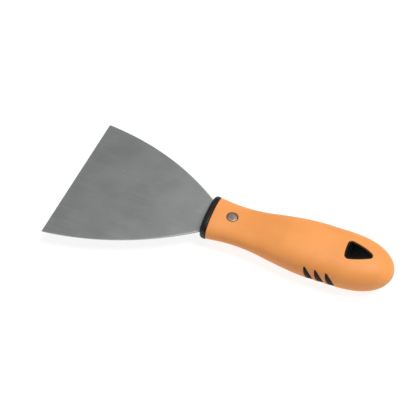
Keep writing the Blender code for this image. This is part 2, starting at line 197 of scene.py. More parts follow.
# Grids
TETRAHEDRON = np.array(((1, -1, -1), (-1, -1, 1), (-1, 1, -1), (1, 1, 1)), float)
SLOPE_STEP = 0.01 * MM
DEEPEST = 8.0 * MM
REACH = 2.0 * MM
GRIP_CELL = 0.412 * MM
FINE_CELL = 0.33 * MM
GRID_MARGIN = 2.37
RELAX_ROUNDS = 3
LEAST_SLOPE_SQUARED = 0.05
NO_LENGTH = 1e-12
AT_TIP = 1e-6
SHARP_ANGLE = math.radians(50)

# The grip's hollow, with its stations at shares of its length
HOLLOW_SIDES = 64
HOLLOW_BODY_END = 0.75
HOLLOW_BODY_STATIONS = 26
HOLLOW_TAIL_START = 0.76
HOLLOW_TAIL_STATIONS = 12

# Black plastics: dark and light tone, roughness, specular level and grains in a metre
BLACK_FINISHES = {
    "collar_black_plastic": (0.009, 0.021, 0.42, 0.32, 2600.0),
    "inlay_black_plastic": (0.008, 0.016, 0.60, 0.18, 2600.0),
    "bush_black_rubber": (0.004, 0.012, 0.60, 0.15, 2200.0),
    "core_black_plastic": (0.006, 0.016, 0.60, 0.15, 1800.0),
}

# Camera, light and floor
CAMERA_PLACE = (-0.0904, 0.2930, 0.3997)
CAMERA_RIGHT = (-0.93396, -0.35680, 0.02051)
CAMERA_DOWN = (-0.29180, 0.72816, -0.62019)
CAMERA_FORWARD = (0.20635, -0.58522, -0.78418)
CAMERA_LENS = 67.83
SENSOR_WIDTH = 36.0
LIGHT_PLACE = (-0.80, -0.42, 2.28)
LIGHT_SIZE = 1.35
LIGHT_POWER = 61.0
WORLD_STRENGTH = 0.27
FLOOR_HALF_SIZE = 3.0
FLOOR_TONE = 0.22
FLOOR_GLOW = 0.86


# ---------------------------------------------------------------------------------------------- fields


def gradient(field, points):
    """The slope of field at each point, from its values at the four corners of a small tetrahedron."""
    total = sum(corner * field(points + SLOPE_STEP * corner)[:, None] for corner in TETRAHEDRON)
    return total / (4 * SLOPE_STEP)


def as_distance(level, points):
    """A level that is 0 on a surface, turned into a distance from it."""
    slope = np.linalg.norm(gradient(level, points), axis=1)
    return np.maximum(level(points) / np.maximum(slope, 1.0), -DEEPEST)


def round_max(first, second, radius):
    """The overlap of two fields, with the edge between them rounded."""
    a, b = first + radius, second + radius
    return np.hypot(np.maximum(a, 0), np.maximum(b, 0)) + np.minimum(np.maximum(a, b), 0) - radius


def spline_values(knots, shares):
    """A smooth curve through (share, value) knots: cubic pieces with slopes from their neighbours."""
    at, value = np.array(knots, float).T
    order = np.arange(len(at))
    low, high = np.maximum(order - 1, 0), np.minimum(order + 1, len(at) - 1)
    slope = (value[high] - value[low]) / (at[high] - at[low])
    piece = np.clip(np.searchsorted(at, shares, side="right") - 1, 0, len(at) - 2)
    run = at[piece + 1] - at[piece]
    t = np.clip((shares - at[piece]) / run, 0, 1)
    return (
        value[piece] * (1 + 2 * t) * (1 - t) ** 2
        + slope[piece] * run * t * (1 - t) ** 2
        + value[piece + 1] * t * t * (3 - 2 * t)
        - slope[piece + 1] * run * t * t * (1 - t)
    )


def tail_fall(share, start):
    """The square of the tail's rounding: 1 along the body, 0 at the tip and below 0 past it."""
    return 1 - (np.maximum(share - start, 0) / (1 - start)) ** TAIL_EXPONENT


def grip_level(points):
    """The grip's outer form, from superellipse sections that close smoothly at the tail."""
    x, y, z = points.T
    share = (GRIP_FRONT_X - x) / GRIP_LENGTH
    width_fall = tail_fall(share, WIDTH_ROUNDING_START)
    height_fall = tail_fall(share, HEIGHT_ROUNDING_START)
    near_tip = np.abs(width_fall) < AT_TIP
    ratio = np.where(near_tip, 1, height_fall) / np.where(near_tip, 1, width_fall)
    across = np.abs(y) / (spline_values(GRIP_HALF_WIDTHS, share) * MM) * np.sqrt(np.maximum(ratio, 0))
    up = np.abs(z) / (spline_values(GRIP_HALF_HEIGHTS, share) * MM)
    return (across**GRIP_EXPONENT + up**GRIP_EXPONENT) ** (2 / GRIP_EXPONENT) - height_fall


def grip_outside(points, inset=0.0):
    """Distance from the grip's outer form, or from the smaller form inset inside it."""
    scale = np.array(
        (
            GRIP_LENGTH / (GRIP_LENGTH - inset),
            1 / (1 - inset / GRIP_LARGEST_HALF_WIDTH),
            1 / (1 - inset / GRIP_LARGEST_HALF_HEIGHT),
        )
    )
    front = np.array((GRIP_FRONT_X, 0, 0))
    return as_distance(lambda found: grip_level((found - front) * scale + front), points)


def superellipse(points, half_width, half_height, exponent):
    """Distance from a straight form along X with a superellipse section."""

    def level(found):
        across, up = np.abs(found[:, 1]) / half_width, np.abs(found[:, 2]) / half_height
        return (across**exponent + up**exponent) ** (2 / exponent) - 1

    return as_distance(level, points)


def outline_distance(places, outline):
    """Distance in the plane from a closed outline, exact near it and at least REACH far outside it."""
    corners = np.array(outline)
    near = np.all((places > corners.min(0) - REACH) & (places < corners.max(0) + REACH), axis=1)
    close = places[near]
    best = np.full(len(close), np.inf)
    inside = np.zeros(len(close), bool)
    for start, end in zip(corners, np.roll(corners, -1, axis=0)):
        along, away = end - start, close - start
        share = np.clip(away @ along / (along @ along), 0, 1)
        best = np.minimum(best, np.linalg.norm(away - share[:, None] * along, axis=1))
        crosses = (start[1] > close[:, 1]) != (end[1] > close[:, 1])
        inside ^= crosses & (away[:, 0] * along[1] < away[:, 1] * along[0]) ^ (crosses & (along[1] < 0))
    found = np.full(len(places), REACH)
    found[near] = np.where(inside, -best, best)
    return found


def arc_points(centre, radius, begin, turn, steps):
    angles = begin + turn * np.arange(steps) / steps
    return list(zip(centre.x + radius * np.cos(angles), centre.y + radius * np.sin(angles)))


def rounded_triangle(inset):
    """The hang hole's outline, drawn in by inset: corner arcs joined smoothly by bowed sides."""
    corners = HANG_HOLE_CORNERS
    reach = HANG_HOLE_SIDE_RADIUS - HANG_HOLE_RADIUS
    side_centres = []
    for index, corner in enumerate(corners):
        following = corners[(index + 1) % len(corners)]
        side = following - corner
        inward = Vector((-side.y, side.x)).normalized()
        from_side = math.sqrt(reach**2 - (side.length / 2) ** 2)
        side_centres.append((corner + following) / 2 + inward * from_side)
    outline = []
    for index, corner in enumerate(corners):
        following = corners[(index + 1) % len(corners)]
        into, out = corner - side_centres[index - 1], corner - side_centres[index]
        begin, corner_turn = math.atan2(into.y, into.x), -into.angle_signed(out)
        side_turn = -out.angle_signed(following - side_centres[index])
        outline += arc_points(corner, HANG_HOLE_RADIUS - inset, begin, corner_turn, CORNER_STEPS)
        side_radius = HANG_HOLE_SIDE_RADIUS - inset
        outline += arc_points(side_centres[index], side_radius, begin + corner_turn, side_turn, SIDE_STEPS)
    return outline


def leaf_outline(tip_x, margin):
    """A slanting leaf in the XZ plane, narrower by margin all round: blunt at its ends, fuller below."""
    top = Vector((tip_x, INLAY_TOP_Z))
    bottom = Vector((tip_x - INLAY_LEAN, INLAY_BOTTOM_Z))
    along = (bottom - top).normalized()
    across = Vector((-along.y, along.x))
    top += along * 2 * margin
    bottom -= along * 2 * margin
    right, left = [], []
    for index in range(1, INLAY_STEPS):
        share = index / INLAY_STEPS
        bulge = math.sin(math.pi * share**INLAY_FULLNESS) ** INLAY_BLUNTNESS
        spread = (INLAY_HALF_WIDTH - margin) * bulge
        middle = top.lerp(bottom, share)
        right.append(tuple(middle + across * spread))
        left.append(tuple(middle - across * spread))
    return [tuple(top)] + right + [tuple(bottom)] + left[::-1]


HOLE_OUTLINE = rounded_triangle(0.0)
WINDOW_OUTLINES = [leaf_outline(tip_x, 0.0) for tip_x in INLAY_TIPS_X]


def seat_distance(points):
    """Distance from the rivet's round seat, measured across it."""
    return np.hypot(points[:, 0] - RIVET_X, points[:, 1]) - RIVET_SEAT_RADIUS


def window_distance(points):
    """Distance from the nearest inlay window, on either side of the grip."""
    nearest = np.min([outline_distance(points[:, [0, 2]], outline) for outline in WINDOW_OUTLINES], axis=0)
    return np.maximum(nearest, INLAY_INNER_Y - GAP - np.abs(points[:, 1]))


def crease_depth(points):
    """How deep the crease is at each point: an arc that fades out at both ends."""
    x, y, z = points.T
    off_line = np.hypot(x - CREASE_CENTRE[0], y - CREASE_CENTRE[1]) - CREASE_RADIUS
    fade = np.exp(-(((x - CREASE_MIDDLE_X) / CREASE_REACH) ** 4))
    return CREASE_DEPTH * fade * np.exp(-((off_line / CREASE_WIDTH) ** 2)) * ((y > 0) & (z > 0))


def grip_field(points):
    """The overmould without its hollow, cut through at the rivet and hang hole and in at the inlays."""
    outside = grip_outside(points) + crease_depth(points)
    shell = round_max(outside, points[:, 0] - GRIP_FRONT_X, GRIP_FRONT_EDGE)
    shell = round_max(shell, -outline_distance(points[:, :2], HOLE_OUTLINE), HOLE_LIP)
    shell = round_max(shell, -seat_distance(points), SEAT_LIP)
    return round_max(shell, -window_distance(points), WINDOW_LIP)


def collar_field(points):
    """The bolster cap: an elliptic round at its front, a slot for the blade and a pocket for the tenon."""
    x, y, z = points.T
    side = superellipse(points, COLLAR_HALF_WIDTH, COLLAR_HALF_HEIGHT, COLLAR_EXPONENT)
    flank = np.clip(np.abs(y) / COLLAR_HALF_WIDTH, 0, 1) ** COLLAR_EXPONENT
    corner = 4 * flank * (1 - flank)
    inset = COLLAR_EDGE_INSET + COLLAR_SIDE_INSET * flank + COLLAR_CORNER_INSET * corner
    cap = inset * round_max(side / inset, (x - COLLAR_FRONT_X) / COLLAR_EDGE_LENGTH, 1.0)
    cap = round_max(cap, COLLAR_BACK_X - x, INNER_EDGE)
    half_slot = ROOT_THICKNESS / 2 + GAP
    tang_slot = np.maximum(np.abs(z) - half_slot, np.abs(y) - TANG_HALF_WIDTH - GAP)
    shoulder = np.maximum(np.abs(z) - half_slot, np.abs(y) - BLADE_ROOT_HALF_WIDTH - GAP)
    shoulder = np.maximum(shoulder, COLLAR_FRONT_X - SHOULDER_POCKET_DEPTH - x)
    tenon = superellipse(points, TENON_HALF_WIDTH + GAP, TENON_HALF_HEIGHT + GAP, GRIP_EXPONENT)
    tenon = np.maximum(tenon, x - TENON_FRONT_X - GAP)
    for pocket in (tang_slot, shoulder, tenon):
        cap = round_max(cap, -pocket, INNER_EDGE)
    return cap


def liner_field(points):
    """The bush in the hang hole, with its rims rounded over into the bore."""
    sleeve = outline_distance(points[:, :2], rounded_triangle(GAP))
    sleeve = round_max(sleeve, grip_outside(points) + LINER_RECESS, INNER_EDGE)
    return round_max(sleeve, -outline_distance(points[:, :2], rounded_triangle(GAP + LINER_WALL)), LINER_RIM)


def inlay_field(outline, side):
    """One leaf inlay: a face with rounded edges just below the grip's surface, and a foot on the hollow."""

    def field(points):
        leaf = np.maximum(outline_distance(points[:, [0, 2]], outline), INLAY_INNER_Y - side * points[:, 1])
        leaf = round_max(leaf, grip_outside(points) + INLAY_RECESS, INLAY_EDGE)
        return np.maximum(leaf, -grip_outside(points, GRIP_WALL))

    return field


# ---------------------------------------------------------------------------------------------- meshes


def along_axis(array, axis, first, last):
    return array[tuple(slice(first, last) if index == axis else slice(None) for index in range(3))]


def surface_net(field, low, high, cell):
    """Points and quads over the surface where field is 0, one point in each grid cell that it crosses."""
    start = np.array(low) - GRID_MARGIN * cell
    counts = np.ceil((np.array(high) - start) / cell + GRID_MARGIN).astype(int)
    grid = start + cell * np.stack(np.indices(counts), axis=-1)
    inside_out = field(grid.reshape(-1, 3)).reshape(counts)
    total, crossings, edges = np.zeros((*(counts - 1), 3)), np.zeros(counts - 1), []
    for axis in range(3):
        lower, upper = along_axis(inside_out, axis, 0, -1), along_axis(inside_out, axis, 1, None)
        crossed = (lower < 0) != (upper < 0)
        edges.append((np.argwhere(crossed), lower[crossed] < 0))
        place = along_axis(grid, axis, 0, -1).copy()
        place[..., axis] += cell * np.where(crossed, lower / np.where(crossed, lower - upper, 1), 0)
        place *= crossed[..., None]
        u, v = (axis + 1) % 3, (axis + 2) % 3
        for ends in ((0, -1), (1, None)):
            for others in ((0, -1), (1, None)):
                total += along_axis(along_axis(place, u, *ends), v, *others)
                crossings += along_axis(along_axis(crossed, u, *ends), v, *others)
    active = crossings > 0
    number = np.full(active.shape, -1)
    number[active] = np.arange(active.sum())
    quads = []
    for axis, (places, rising) in enumerate(edges):
        u, v = (axis + 1) % 3, (axis + 2) % 3
        ring = []
        for step_u, step_v in ((-1, -1), (0, -1), (0, 0), (-1, 0)):
            cells = places.copy()
            cells[:, u] += step_u
            cells[:, v] += step_v
            ring.append(number[tuple(cells.T)])
        ring = np.stack(ring, axis=1)
        quads.append(np.where(rising[:, None], ring, ring[:, ::-1]))
    return total[active] / crossings[active][:, None], np.concatenate(quads)


def onto_surface(field, points, cell):
    """The points moved onto the surface where field is 0, by one step of at most a cell."""
    slope = gradient(field, points)
    steepness = np.maximum((slope**2).sum(axis=1), LEAST_SLOPE_SQUARED)[:, None]
    step = -field(points)[:, None] * slope / steepness
    length = np.linalg.norm(step, axis=1)[:, None]
    return points + step * np.minimum(1, cell / np.maximum(length, NO_LENGTH))


def relaxed(field, points, quads, cell):
    """The net's points, evened out along the surface and held on it."""
    starts, ends = quads.ravel(), np.roll(quads, -1, axis=1).ravel()
    own, other = np.concatenate((starts, ends)), np.concatenate((ends, starts))
    degree = np.bincount(own, minlength=len(points))[:, None]
    points = onto_surface(field, points, cell)
    for _ in range(RELAX_ROUNDS):
        sums = [np.bincount(own, points[other, axis], len(points)) for axis in range(3)]
        points = onto_surface(field, (points + np.stack(sums, axis=1) / degree) / 2, cell)
    return onto_surface(field, points, cell)


def new_piece(name, points, faces):
    mesh = bpy.data.meshes.new(name)
    mesh.from_pydata([tuple(point) for point in points], [], [tuple(face) for face in faces])
    mesh.validate()
    mesh.shade_smooth()
    made = bpy.data.objects.new(name, mesh)
    bpy.context.scene.collection.objects.link(made)
    return made


def moulded_piece(name, field, low, high, cell):
    points, quads = surface_net(field, low, high, cell)
    return new_piece(name, relaxed(field, points, quads, cell), quads.tolist())


def set_attribute(made, name, values):
    """A value at each point, for the piece's material to read."""
    made.data.attributes.new(name, "FLOAT", "POINT").data.foreach_set("value", np.asarray(values, np.float32))


def mesh_points(made):
    found = np.empty(len(made.data.vertices) * 3)
    made.data.vertices.foreach_get("co", found)
    return found.reshape(-1, 3)


def blade_half_width(x):
    """Half the blade's width: an arc bowed outwards from the root to the corner of the edge."""
    corner, root = Vector((EDGE_X, BLADE_HALF_WIDTH)), Vector((COLLAR_FRONT_X, BLADE_ROOT_HALF_WIDTH))
    chord = corner - root
    inward = Vector((chord.y, -chord.x)).normalized()
    centre = (corner + root) / 2 + inward * math.sqrt(BLADE_SIDE_RADIUS**2 - (chord.length / 2) ** 2)
    if x <= COLLAR_FRONT_X:
        return BLADE_ROOT_HALF_WIDTH
    return centre.y + math.sqrt(BLADE_SIDE_RADIUS**2 - (x - centre.x) ** 2)


def tang_half_width(x):
    into_end = max(TANG_END_X + TANG_HALF_WIDTH - x, 0.0)
    return max(math.sqrt(max(TANG_HALF_WIDTH**2 - into_end**2, 0.0)), TANG_END_SHARE * TANG_HALF_WIDTH)


def blade_half_thickness(x):
    ground = max(x - GRIND_START_X, 0.0) / (EDGE_X - GRIND_START_X)
    return (ROOT_THICKNESS + (EDGE_THICKNESS - ROOT_THICKNESS) * ground) / 2


def softened_corner(x, y):
    """Moves a point near one of the edge's two corners inside the small round there."""
    side = math.copysign(1.0, y)
    a = 1 - (EDGE_X - x) / CORNER_RADIUS
    b = 1 - (blade_half_width(x) - abs(y)) / CORNER_RADIUS
    if a <= 0 or b <= 0:
        return x, y
    return (
        x - CORNER_RADIUS * a * (1 - math.sqrt(1 - b * b / 2)),
        y - side * CORNER_RADIUS * b * (1 - math.sqrt(1 - a * a / 2)),
    )


def blade_rows():
    """(x, half width, whether the row is on the tang) from the tang's end to the edge."""
    rows = []
    for index in range(TANG_ROWS):
        x = TANG_END_X + (SHOULDER_X - TANG_END_X) * math.sin(math.pi / 2 * index / TANG_ROWS) ** 2
        rows.append((x, tang_half_width(x), True))
    for index in range(BLADE_ROWS + 1):
        x = SHOULDER_X + (EDGE_X - CORNER_RADIUS - SHOULDER_X) * index / BLADE_ROWS
        rows.append((x, blade_half_width(x), False))
    for index in range(1, CORNER_ROWS + 1):
        x = EDGE_X - CORNER_RADIUS * (1 - index / CORNER_ROWS)
        rows.append((x, blade_half_width(x), False))
    return rows


def blade_columns():
    """Places across the blade from -1 to 1, closer at its sides, and how many each side lie off the tang."""
    tang = TANG_HALF_WIDTH / BLADE_ROOT_HALF_WIDTH
    inner = [tang * index / INNER_COLUMNS for index in range(-INNER_COLUMNS, INNER_COLUMNS + 1)]
    turns = [math.pi / 2 * index / OUTER_COLUMNS for index in range(1, OUTER_COLUMNS + 1)]
    outer = [tang + (1 - tang) * math.sin(turn) for turn in turns]
    return [-place for place in reversed(outer)] + inner + outer, len(outer)


def make_blade():
    """One plate: two dense sheets joined at their rims, a tang with its rivet hole, and softened arrises."""
    columns, outer_count = blade_columns()
    bm = bmesh.new()
    sheets = []
    for side in (1, -1):
        rows = []
        for x, half_width, on_tang in blade_rows():
            row = {}
            for index, place in enumerate(columns):
                inner = outer_count <= index < len(columns) - outer_count
                if on_tang and not inner:
                    continue
                scale = half_width * (BLADE_ROOT_HALF_WIDTH / TANG_HALF_WIDTH if on_tang else 1)
                spot = softened_corner(x, place * scale)
                row[index] = bm.verts.new((*spot, side * blade_half_thickness(x)))
            rows.append(row)
        for behind, ahead in zip(rows, rows[1:]):
            for index in range(len(columns) - 1):
                corners = [row.get(place) for row in (behind, ahead) for place in (index, index + 1)]
                if None not in corners:
                    bm.faces.new((corners[0], corners[1], corners[3], corners[2]))
        sheets.append([vert for row in rows for vert in row.values()])
    under = dict(zip(*sheets))
    rim = [edge for edge in bm.edges if edge.is_boundary and edge.verts[0] in under]
    for edge in rim:
        first, second = edge.verts
        bm.faces.new((first, second, under[second], under[first]))
    bmesh.ops.recalc_face_normals(bm, faces=bm.faces)
    mesh = bpy.data.meshes.new("flexible_blade")
    bm.to_mesh(mesh)
    bm.free()
    blade = bpy.data.objects.new("flexible_blade", mesh)
    bpy.context.scene.collection.objects.link(blade)
    cut_rivet_hole(blade)
    soften_arrises(blade)
    finish_blade_data(blade)
    return blade


def cut_rivet_hole(blade):
    bm = bmesh.new()
    bmesh.ops.create_cone(
        bm,
        cap_ends=True,
        segments=RIVET_SIDES // 2,
        radius1=TANG_HOLE_RADIUS,
        radius2=TANG_HOLE_RADIUS,
        depth=4 * ROOT_THICKNESS,
        matrix=Matrix.Translation((RIVET_X, 0, 0)),
    )
    mesh = bpy.data.meshes.new("tang_hole")
    bm.to_mesh(mesh)
    bm.free()
    cutter = bpy.data.objects.new("tang_hole", mesh)
    bpy.context.scene.collection.objects.link(cutter)
    cut_with(blade, cutter)


def cut_with(made, cutter):
    """Takes the cutter's form out of the piece's mesh, and removes the cutter."""
    modifier = made.modifiers.new("cut", "BOOLEAN")
    modifier.solver = "EXACT"
    modifier.object = cutter
    evaluated = made.evaluated_get(bpy.context.evaluated_depsgraph_get())
    mesh = bpy.data.meshes.new_from_object(evaluated)
    made.modifiers.clear()
    made.data = mesh
    bpy.data.objects.remove(cutter)


def soften_arrises(blade):
    bm = bmesh.new()
    bm.from_mesh(blade.data)
    sharp = [edge for edge in bm.edges if edge.calc_face_angle(0) > ARRIS_ANGLE]
    bmesh.ops.bevel(
        bm,
        geom=sharp,
        offset=ARRIS,
        segments=ARRIS_SEGMENTS,
        profile=0.5,
        affect="EDGES",
        clamp_overlap=True,
    )
    bmesh.ops.recalc_face_normals(bm, faces=bm.faces)
    bm.to_mesh(blade.data)
    bm.free()
    blade.data.shade_smooth()
    blade.data.set_sharp_from_angle(angle=SHARP_ANGLE)


def finish_blade_data(blade):
    """Lays the material's coordinates on the flat blade, to bend with it, and marks its rims for a painted
    highlight, strongest near the root, and its flank near the root for painted shade.
    """
    points = mesh_points(blade)
    x = points[:, 0]
    half_widths = np.array([blade_half_width(place) for place in x])
    from_rim = np.minimum(half_widths - np.abs(points[:, 1]), EDGE_X - x)
    near_root = np.clip((NECK_END_X - x) / (NECK_END_X - COLLAR_FRONT_X), 0, 1)
    # Painted highlight along the rims, strongest near the root.
    wear_and_painted_highlight = np.exp(-np.maximum(from_rim, 0) / RIM_HIGHLIGHT_WIDTH)
    # Painted shade: marks the flank near the root, to be painted almost black.
    on_flank = (from_rim < 0.5 * ARRIS) & (x < EDGE_X - CORNER_RADIUS)
    set_attribute(blade, "rim", wear_and_painted_highlight * (RIM_HIGHLIGHT_LEAST + (1 - RIM_HIGHLIGHT_LEAST) * near_root))
    set_attribute(blade, "flank", on_flank * near_root)
    layer = blade.data.uv_layers.new(name="plan")
    corners = np.empty(len(blade.data.loops), np.int32)
    blade.data.loops.foreach_get("vertex_index", corners)
    layer.data.foreach_set("uv", points[corners][:, :2].astype(np.float32).ravel())


def turned_piece(name, profile, x):
    """A round piece about a vertical axis at x. Its profile of (radius, z) starts and ends on the axis."""
    turns = [2 * math.pi * index / RIVET_SIDES for index in range(RIVET_SIDES)]
    points = [(x, 0.0, profile[0][1])]
    for radius, z in profile[1:-1]:
        points += [(x + radius * math.cos(turn), radius * math.sin(turn), z) for turn in turns]
    points.append((x, 0.0, profile[-1][1]))
    last = len(points) - 1
    faces = []
    for index in range(RIVET_SIDES):
        following = (index + 1) % RIVET_SIDES
        faces.append((0, 1 + index, 1 + following))
        for ring in range(len(profile) - 3):
            above, below = 1 + ring * RIVET_SIDES, 1 + (ring + 1) * RIVET_SIDES
            faces.append((above + index, below + index, below + following, above + following))
        bottom = last - RIVET_SIDES
        faces.append((last, bottom + following, bottom + index))
    made = new_piece(name, points, faces)
    made.data.set_sharp_from_angle(angle=SHARP_ANGLE)
    return made


def rivet_face():
    """Half a head's face: a slight crown and a rounded rim, as (radius, height below the top)."""
    flat = RIVET_HEAD_RADIUS - RIVET_HEAD_CHAMFER
    face = []
    for index in range(RIVET_CROWN_STEPS + 1):
        depth = RIVET_CROWN * (index / RIVET_CROWN_STEPS) ** RIVET_CROWN_EXPONENT
        face.append((flat * index / RIVET_CROWN_STEPS, depth))
    for index in range(1, RIVET_CHAMFER_STEPS + 1):
        angle = math.pi / 2 * index / RIVET_CHAMFER_STEPS
        depth = RIVET_CROWN + RIVET_HEAD_CHAMFER * (1 - math.cos(angle))
        face.append((flat + RIVET_HEAD_CHAMFER * math.sin(angle), depth))
    return face


def make_rivet_pin():
    face = [(radius, RIVET_HEAD_TOP - depth) for radius, depth in rivet_face()]
    shank = [
        (RIVET_HEAD_RADIUS, RIVET_HEAD_BASE),
        (RIVET_SHANK_RADIUS, RIVET_HEAD_BASE),
        (RIVET_SHANK_RADIUS, RIVET_SHANK_END),
        (0.0, RIVET_SHANK_END),
    ]
    return turned_piece("rivet_upper_head", face + shank, RIVET_X)


def make_rivet_tube():
    tube = [
        (0.0, RIVET_BORE_END),
        (RIVET_BORE_RADIUS, RIVET_BORE_END),
        (RIVET_BORE_RADIUS, RIVET_TUBE_END),
        (RIVET_TUBE_RADIUS, RIVET_TUBE_END),
        (RIVET_TUBE_RADIUS, -RIVET_HEAD_BASE),
        (RIVET_HEAD_RADIUS, -RIVET_HEAD_BASE),
    ]
    face = [(radius, depth - RIVET_HEAD_TOP) for radius, depth in reversed(rivet_face())]
    return turned_piece("rivet_lower_head", tube + face, RIVET_X)


def make_hollow():
    """The hollow for the core: the grip's form drawn in by its wall, running out past the front."""
    body = np.linspace(0, HOLLOW_BODY_END, HOLLOW_BODY_STATIONS)
    closing = np.sin(np.pi / 2 * np.arange(HOLLOW_TAIL_STATIONS) / HOLLOW_TAIL_STATIONS)
    shares = np.concatenate((body, HOLLOW_TAIL_START + (1 - HOLLOW_TAIL_START) * closing))
    width_scale = 1 - GRIP_WALL / GRIP_LARGEST_HALF_WIDTH
    height_scale = 1 - GRIP_WALL / GRIP_LARGEST_HALF_HEIGHT
    half_widths = spline_values(GRIP_HALF_WIDTHS, shares) * np.sqrt(tail_fall(shares, WIDTH_ROUNDING_START))
    height_fall = tail_fall(shares, HEIGHT_ROUNDING_START)
    half_heights = spline_values(GRIP_HALF_HEIGHTS, shares) * np.sqrt(height_fall)
    places = GRIP_FRONT_X - shares * (GRIP_LENGTH - GRIP_WALL)
    places[0] += GRIP_WALL
    turns = 2 * np.pi * (np.arange(HOLLOW_SIDES) + 0.5) / HOLLOW_SIDES
    across = np.sign(np.cos(turns)) * np.abs(np.cos(turns)) ** (2 / GRIP_EXPONENT)
    up = np.sign(np.sin(turns)) * np.abs(np.sin(turns)) ** (2 / GRIP_EXPONENT)
    points = []
    for x, half_width, half_height in zip(places, half_widths * MM, half_heights * MM):
        y_reach, z_reach = half_width * width_scale, half_height * height_scale
        points += [(x, y_reach * y, z_reach * z) for y, z in zip(across, up)]
    last = len(points)
    points.append((TAIL_X + GRIP_WALL, 0, 0))
    faces = [tuple(range(HOLLOW_SIDES))]
    for index in range(HOLLOW_SIDES):
        following = (index + 1) % HOLLOW_SIDES
        for ring in range(0, last - HOLLOW_SIDES, HOLLOW_SIDES):
            behind = ring + HOLLOW_SIDES
            faces.append((ring + index, behind + index, behind + following, ring + following))
        faces.append((last - HOLLOW_SIDES + index, last, last - HOLLOW_SIDES + following))
    return new_piece("hollow", points, faces)


def make_grip():
    low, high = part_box("grip_overmould")
    grip = moulded_piece("grip_shell", grip_field, low, high, GRIP_CELL)
    cut_with(grip, make_hollow())
    grip.data.set_sharp_from_angle(angle=SHARP_ANGLE)
    points = mesh_points(grip)
    # Painted shade: the orange is darkened round the inlay windows and the rivet seat.
    rim = np.exp(-np.maximum(window_distance(points), 0) / WINDOW_PAINTED_SHADE)
    rim = np.maximum(rim, np.exp(-np.maximum(seat_distance(points), 0) / SEAT_PAINTED_SHADE))
    set_attribute(grip, "rim", rim)
    return grip


def make_collar():
    low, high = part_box("bolster_collar")
    return moulded_piece("bolster_cap", collar_field, low, high, FINE_CELL)


def make_liner():
    low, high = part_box("hang_hole_liner")
    return moulded_piece("hang_hole_bush", liner_field, low, high, FINE_CELL)


def make_inlays():
    made = []
    for side, side_name in ((1, "left"), (-1, "right")):
        for index, tip_x in enumerate(INLAY_TIPS_X, start=1):
            node = f"grip_inlay_{side_name}_{index}"
            low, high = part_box(node)
            field = inlay_field(leaf_outline(tip_x, GAP), side)
            made.append((moulded_piece(f"leaf_{side_name}_{index}", field, low, high, FINE_CELL), node))
    return made


# ------------------------------------------------------------------------------------------- materials


def new_material(name, **sockets):
    """A Principled material with these constant sockets, and the shader to wire the rest to."""
    material = bpy.data.materials.new(name)
    material.use_nodes = True
    shader = material.node_tree.nodes["Principled BSDF"]
    for socket, value in sockets.items():
        shader.inputs[socket.replace("_", " ")].default_value = value
    return material, shader


def add(material, kind, inputs=None, **settings):
    """A node with its settings, whose inputs are given as numbers or as other nodes' outputs."""
    node = material.node_tree.nodes.new(kind)
    for setting, value in settings.items():
        setattr(node, setting, value)
    for socket, value in (inputs or {}).items():
        if isinstance(value, bpy.types.NodeSocket):
            material.node_tree.links.new(value, node.inputs[socket])
        else:
            node.inputs[socket].default_value = value
    return node


def rest_place(material):
    """Places on a rigid piece in its own frame, in metres."""
    return add(material, "ShaderNodeTexCoord").outputs["Object"]


def plan_place(material, scale=(1, 1, 1)):
    """Places on the flat blade, in metres times scale."""
    source = add(material, "ShaderNodeUVMap", uv_map="plan").outputs[0]
    return add(material, "ShaderNodeMapping", {"Vector": source, "Scale": scale}).outputs[0]


def noise(material, place, scale, detail=3.0, roughness=0.5):
    inputs = {"Vector": place, "Scale": scale, "Detail": detail, "Roughness": roughness}
    return add(material, "ShaderNodeTexNoise", inputs).outputs["Fac"]


def ranged(material, value, low, high, new_low=0.0, new_high=1.0):
    inputs = {"Value": value, "From Min": low, "From Max": high, "To Min": new_low, "To Max": new_high}
    return add(material, "ShaderNodeMapRange", inputs, interpolation_type="SMOOTHSTEP").outputs[0]


def math_node(material, operation, first, second):
    return add(material, "ShaderNodeMath", {0: first, 1: second}, operation=operation).outputs[0]


def mixed(material, share, first, second):
    """Two colours, or an output and a colour, mixed by share."""
    inputs = {0: share, 6: first, 7: second}
    return add(material, "ShaderNodeMix", inputs, data_type="RGBA").outputs[2]


def bumped(material, height, strength, distance):
    inputs = {"Height": height, "Strength": strength, "Distance": distance}
    return add(material, "ShaderNodeBump", inputs).outputs[0]


def wire(material, shader, **outputs):
    for socket, output in outputs.items():
        material.node_tree.links.new(output, shader.inputs[socket.replace("_", " ")])


def blade_material():
    """Satin ground steel: fine lengthwise grinding lines, faint smudges and scuffs, a painted highlight along
    the rims and painted shade on the flank near the root.
    """
    material, shader = new_material("satin_ground_steel")
    plan = plan_place(material)
    lines = noise(material, plan_place(material, (25, 2600, 1)), 1.0, 4.0, 0.6)
    smudge = noise(material, plan, 38.0, 4.0, 0.55)
    cloud = noise(material, plan, 12.0, 2.0)
    scuff = ranged(material, noise(material, plan_place(material, (1, 3.5, 1)), 70.0, 2.0), 0.70, 0.76)
    rim = add(material, "ShaderNodeAttribute", attribute_name="rim").outputs["Fac"]
    tone = ranged(material, math_node(material, "ADD", smudge, cloud), 0.7, 1.3)
    color = mixed(material, tone, (0.325, 0.334, 0.336, 1), (0.352, 0.362, 0.361, 1))
    color = mixed(material, math_node(material, "MULTIPLY", scuff, 0.35), color, (0.56, 0.56, 0.56, 1))
    # Painted highlight: the rims turn near white and less metallic, strongest near the root.
    color = mixed(material, rim, color, (0.95, 0.95, 0.94, 1))
    metallic = ranged(material, rim, 0.0, 1.0, 1.0, 0.15)
    flank = add(material, "ShaderNodeAttribute", attribute_name="flank").outputs["Fac"]
    # Painted shade: the flank near the root is painted almost black.
    color = mixed(material, math_node(material, "MULTIPLY", flank, 0.85), color, (0.05, 0.05, 0.05, 1))
    rough = ranged(material, smudge, 0.3, 0.7, 0.45, 0.49)
    rough = math_node(material, "ADD", rough, ranged(material, lines, 0.3, 0.7, -0.03, 0.03))
    normal = bumped(material, lines, 0.12, 0.02 * MM)
    wire(material, shader, Base_Color=color, Metallic=metallic, Roughness=rough, Normal=normal)
    return material


